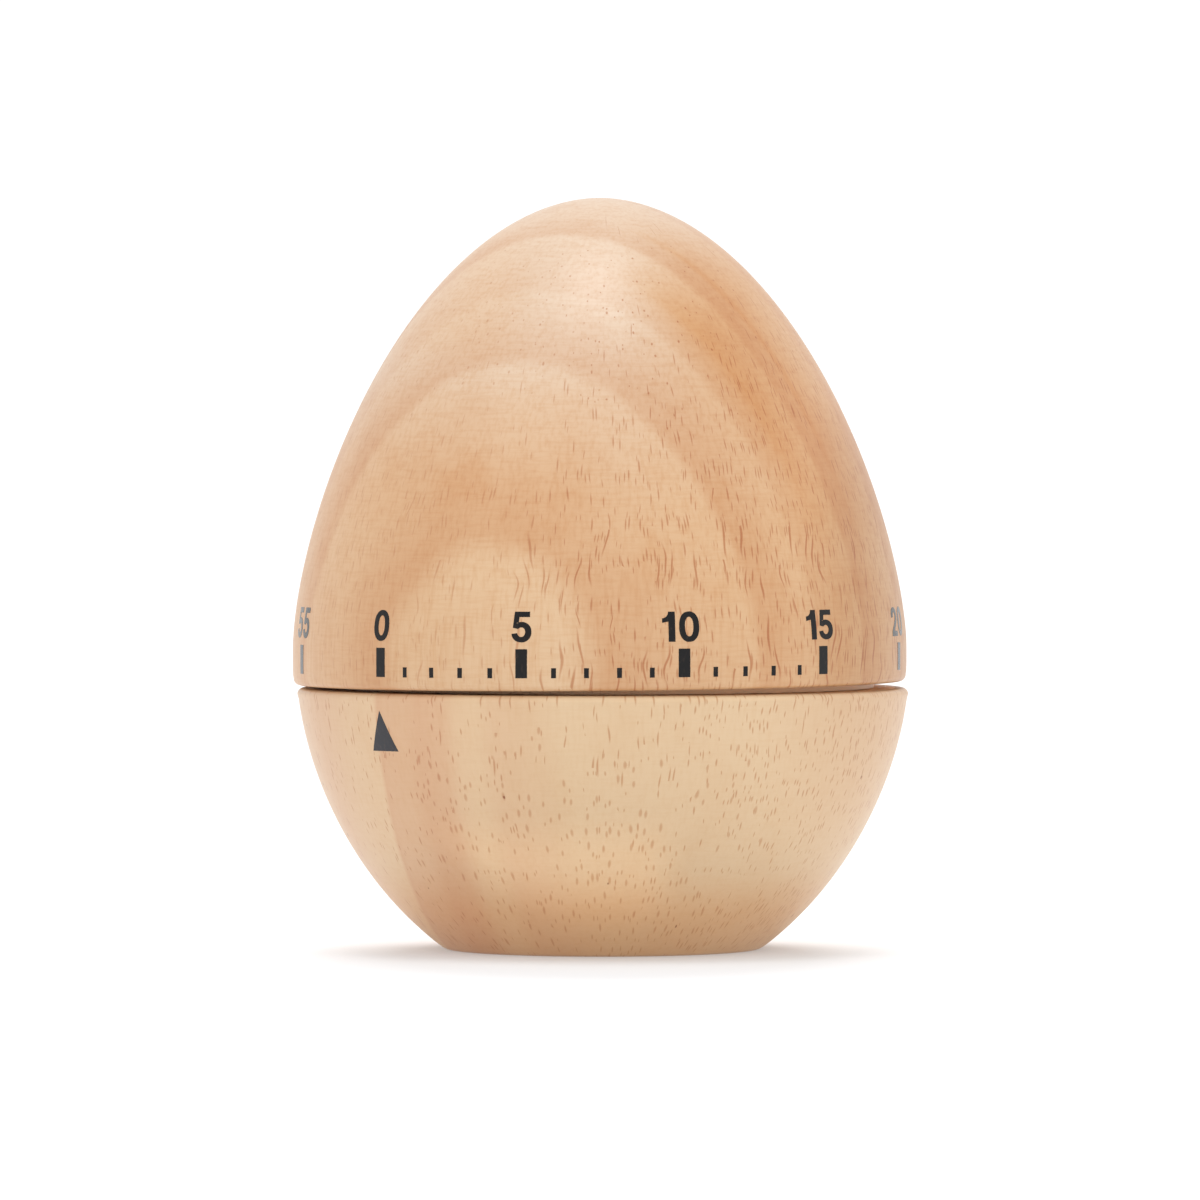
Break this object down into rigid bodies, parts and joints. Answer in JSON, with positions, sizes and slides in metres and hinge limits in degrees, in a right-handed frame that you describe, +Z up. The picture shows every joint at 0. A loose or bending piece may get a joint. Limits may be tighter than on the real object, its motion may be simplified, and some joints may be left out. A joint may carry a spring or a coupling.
{
  "type": "kitchen timer",
  "caption": "Egg-shaped wooden mechanical kitchen timer: the upper half turns as the dial and winds a clockwork movement that rings a bell at zero.",
  "frame": {"origin": "centre of the foot, on the surface the timer stands on", "axes": "+Z up along the dial's axis; -Y towards the front of the scale, with the pointer at its left; +X to the right"},
  "size_m": [0.06, 0.06, 0.0734],
  "materials": {
    "dial_wood": "light warm hardwood, satin lacquer",
    "base_wood": "light yellowish hardwood, satin lacquer",
    "steel": "zinc-plated and turned steel",
    "spring_steel": "blued spring steel",
    "brass": "stamped and turned brass",
    "bell_chrome": "nickel-plated steel",
    "hub_plastic": "black moulded plastic"
  },
  "bodies": {
    "case": {"lower_shell": "base_wood", "back_plate": "steel", "front_plate": "steel", "pillar_1": "steel", "pillar_2": "steel", "pillar_3": "steel", "pillar_screw_1": "steel", "pillar_screw_2": "steel", "pillar_screw_3": "steel", "case_screw_1": "steel", "case_screw_2": "steel", "case_screw_3": "steel", "bell": "bell_chrome", "bell_post": "brass", "bell_screw": "steel", "fixed_stop_pin": "steel", "spring_drum": "steel", "drum_screw_1": "steel", "drum_screw_2": "steel", "drum_screw_3": "steel", "mainspring": "spring_steel", "lever_stud": "steel", "trip_spring": "spring_steel"},
    "dial": {"upper_shell": "dial_wood", "main_arbor": "steel", "dial_hub": "hub_plastic", "hub_screw_1": "steel", "hub_screw_2": "steel", "hub_screw_3": "steel", "strike_gear": "brass", "ratchet_wheel": "steel", "time_cam": "steel", "cam_stop_pin": "steel", "arbor_collar": "steel"},
    "great": {"great_wheel": "brass", "click_pin": "steel", "click_spring": "spring_steel", "click_spring_rivet": "steel"},
    "click": {"click": "steel"},
    "second": {"second_arbor": "steel", "second_wheel": "brass"},
    "third": {"third_arbor": "steel", "third_wheel": "brass"},
    "escape": {"escape_arbor": "steel", "escape_wheel": "brass"},
    "anchor": {"anchor_arbor": "steel", "pallet_anchor": "steel", "pallet_pin_1": "steel", "pallet_pin_2": "steel", "balance_weight": "brass"},
    "strike": {"strike_arbor": "steel", "star_wheel": "steel"},
    "hammer": {"hammer_arbor": "steel", "hammer_verge": "steel", "verge_pin_1": "steel", "verge_pin_2": "steel", "hammer_arm": "spring_steel", "hammer_head": "brass"},
    "lever": {"trip_lever": "steel"}
  },
  "joints": [
    {"name": "dial_turn", "type": "hinge", "parent": "case", "child": "dial", "pos_m": [0, 0, 0.026], "axis": [0, 0, -1], "range_deg": [0, 345], "deforming": ["mainspring"]},
    {"name": "great_turn", "type": "hinge", "parent": "case", "child": "great", "pos_m": [0, 0, 0.0169], "axis": [0, 0, -1], "continuous": true},
    {"name": "click_rock", "type": "hinge", "parent": "great", "child": "click", "pos_m": [0.0037, 0.00641, 0.0179], "axis": [0, 0, 1], "range_deg": [0, 10], "stiffness_Nm_per_rad": 0.0001, "deforming": ["click_spring"]},
    {"name": "second_turn", "type": "hinge", "parent": "case", "child": "second", "pos_m": [0.01404, 0, 0.0153], "axis": [0, 0, -1], "continuous": true},
    {"name": "third_turn", "type": "hinge", "parent": "case", "child": "third", "pos_m": [0.01016, 0.00843, 0.0138], "axis": [0, 0, -1], "continuous": true},
    {"name": "escape_turn", "type": "hinge", "parent": "case", "child": "escape", "pos_m": [0.00346, 0.01357, 0.0152], "axis": [0, 0, -1], "continuous": true},
    {"name": "anchor_rock", "type": "hinge", "parent": "case", "child": "anchor", "pos_m": [-0.00383, 0.01399, 0.0138], "axis": [0, 0, 1], "range_deg": [-5, 5]},
    {"name": "strike_turn", "type": "hinge", "parent": "case", "child": "strike", "pos_m": [-0.00805, -0.0115, 0.0227], "axis": [0, 0, -1], "continuous": true},
    {"name": "hammer_rock", "type": "hinge", "parent": "case", "child": "hammer", "pos_m": [-0.01286, -0.00601, 0.0095], "axis": [0, 0, 1], "range_deg": [-3.3, 5]},
    {"name": "lever_rock", "type": "hinge", "parent": "case", "child": "lever", "pos_m": [-0.01256, 0.00336, 0.0213], "axis": [0, 0, 1], "range_deg": [-7.5, 0], "stiffness_Nm_per_rad": 0.0001, "deforming": ["trip_spring"]}
  ],
  "couplings": [
    {"joint": "great_turn", "follows": "dial_turn", "ratio": 1},
    {"joint": "second_turn", "follows": "dial_turn", "ratio": -6},
    {"joint": "third_turn", "follows": "dial_turn", "ratio": 36},
    {"joint": "escape_turn", "follows": "dial_turn", "ratio": -216},
    {"joint": "strike_turn", "follows": "dial_turn", "ratio": -6}
  ]
}
